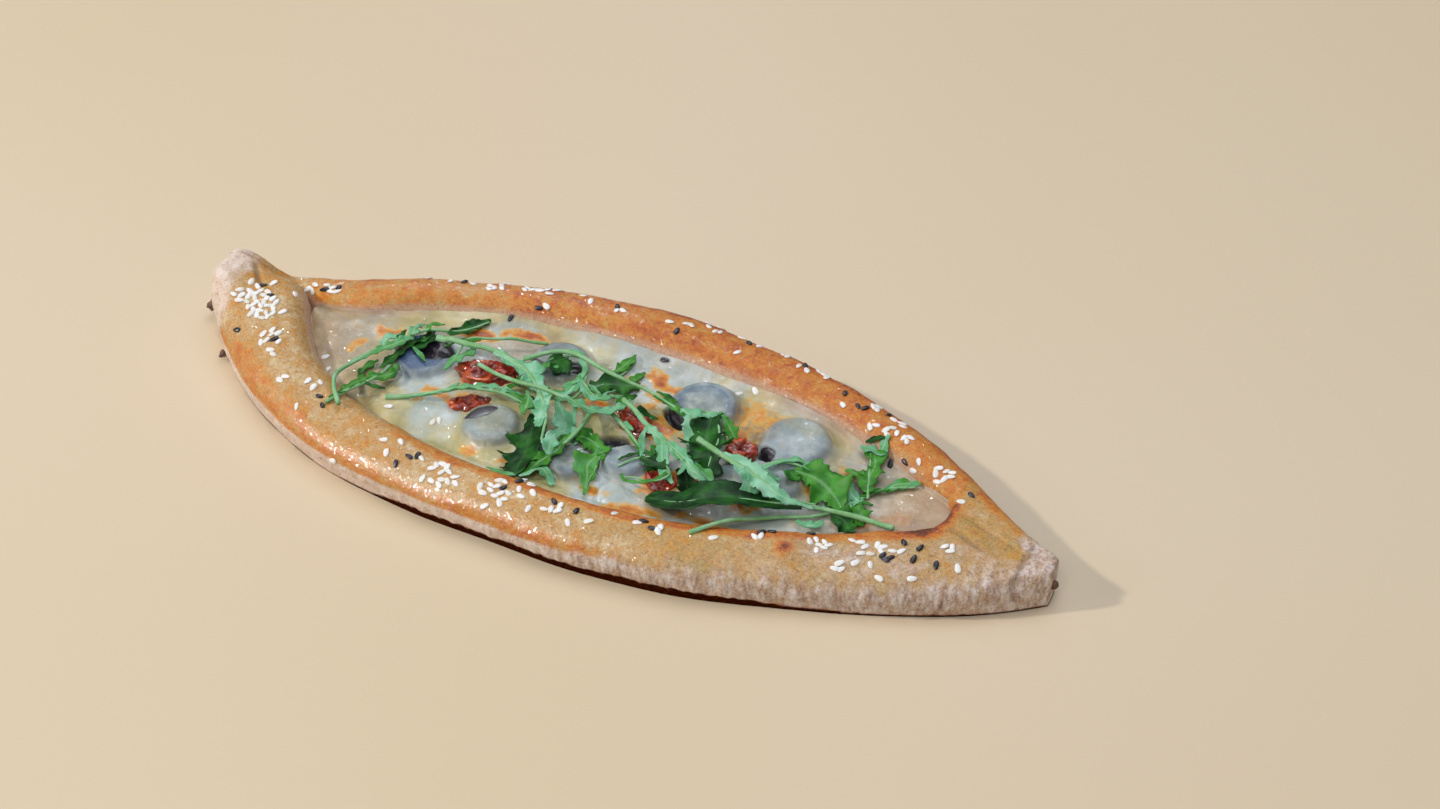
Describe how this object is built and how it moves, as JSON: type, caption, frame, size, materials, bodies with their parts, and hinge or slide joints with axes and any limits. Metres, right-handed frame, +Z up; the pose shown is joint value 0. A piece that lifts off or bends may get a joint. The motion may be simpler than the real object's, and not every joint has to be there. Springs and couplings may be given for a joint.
{
  "type": "manakish",
  "caption": "Boat-shaped flatbread with a rolled rim and pinched ends, filled with melted cheese, black olives and dried tomato, topped with rocket leaves and seeds.",
  "frame": {"origin": "middle of the whole object's footprint, on the surface it lies on", "axes": "+X along the loaf towards its blunt end, the turned-up knob being at -X; +Y across, towards the side the fold leans to; +Z up"},
  "size_m": [0.304, 0.1154, 0.0255],
  "materials": {
    "crust": "baked dough, golden with a soft egg-wash sheen on top and dry and floury low on the sides",
    "cheese": "melted cheese, creamy and slightly translucent, glossy, with toasted orange spots",
    "olive": "black olive, satin, greyed where a film of cheese covers it",
    "tomato": "dried tomato, dark red, wrinkled and oily",
    "leaf": "fresh rocket leaf, satin, with a pale stem and midrib",
    "white_seed": "hulled sesame seed, off-white, satin",
    "black_seed": "black sesame seed, satin"
  },
  "bodies": {
    "root": {"bread": "crust", "cheese": "cheese", "olive_1": "olive", "olive_2": "olive", "olive_3": "olive", "olive_4": "olive", "olive_5": "olive", "olive_6": "olive", "olive_7": "olive", "olive_8": "olive", "olive_9": "olive", "tomato_1": "tomato", "tomato_2": "tomato", "tomato_3": "tomato", "tomato_4": "tomato", "tomato_5": "tomato", "rocket_1": "leaf", "rocket_2": "leaf", "rocket_3": "leaf", "rocket_4": "leaf", "rocket_5": "leaf", "rocket_6": "leaf", "rocket_7": "leaf", "rocket_8": "leaf", "rocket_9": "leaf", "rocket_10": "leaf", "rocket_11": "leaf", "rocket_12": "leaf", "rocket_13": "leaf", "rocket_14": "leaf", "rocket_15": "leaf", "rocket_16": "leaf", "rocket_17": "leaf", "rocket_18": "leaf", "rocket_19": "leaf", "rocket_20": "leaf"}
  },
  "joints": []
}
